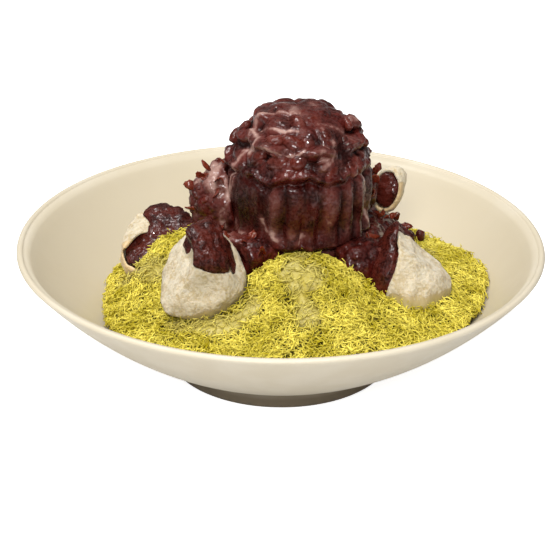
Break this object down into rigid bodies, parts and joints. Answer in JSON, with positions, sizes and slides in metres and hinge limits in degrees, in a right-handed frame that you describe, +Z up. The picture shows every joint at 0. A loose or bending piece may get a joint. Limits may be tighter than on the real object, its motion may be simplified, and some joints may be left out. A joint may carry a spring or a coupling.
{
  "type": "bingsu in its bowl",
  "caption": "Footed porcelain bowl heaped with green-tea shaved ice, topped with a fluted scoop and bed of sweet red bean and cut, filled rice cakes.",
  "frame": {"origin": "centre of the underside of the bowl's foot, on the table", "axes": "+Z up; the diner sits at -Y, with +X at the diner's right"},
  "size_m": [0.24, 0.24, 0.1236],
  "materials": {
    "porcelain": "glazed cream porcelain, smooth and softly glossy",
    "shaved_ice": "fine shredded green-tea milk ice, damp where milk soaked in",
    "red_bean": "glossy sweet red bean paste with whole beans, streaked with milk",
    "rice_skin": "soft rice dough dusted with starch",
    "cake_filling": "coarse, moist red bean filling"
  },
  "bodies": {
    "root": {"bowl": "porcelain", "ice_heap": "shaved_ice", "bean_bed": "red_bean", "bean_scoop": "red_bean", "rice_cake_left_skin": "rice_skin", "rice_cake_left_filling": "cake_filling", "rice_cake_front_skin": "rice_skin", "rice_cake_front_filling": "cake_filling", "rice_cake_right_skin": "rice_skin", "rice_cake_right_filling": "cake_filling", "rice_cake_back_skin": "rice_skin", "rice_cake_back_filling": "cake_filling"}
  },
  "joints": []
}
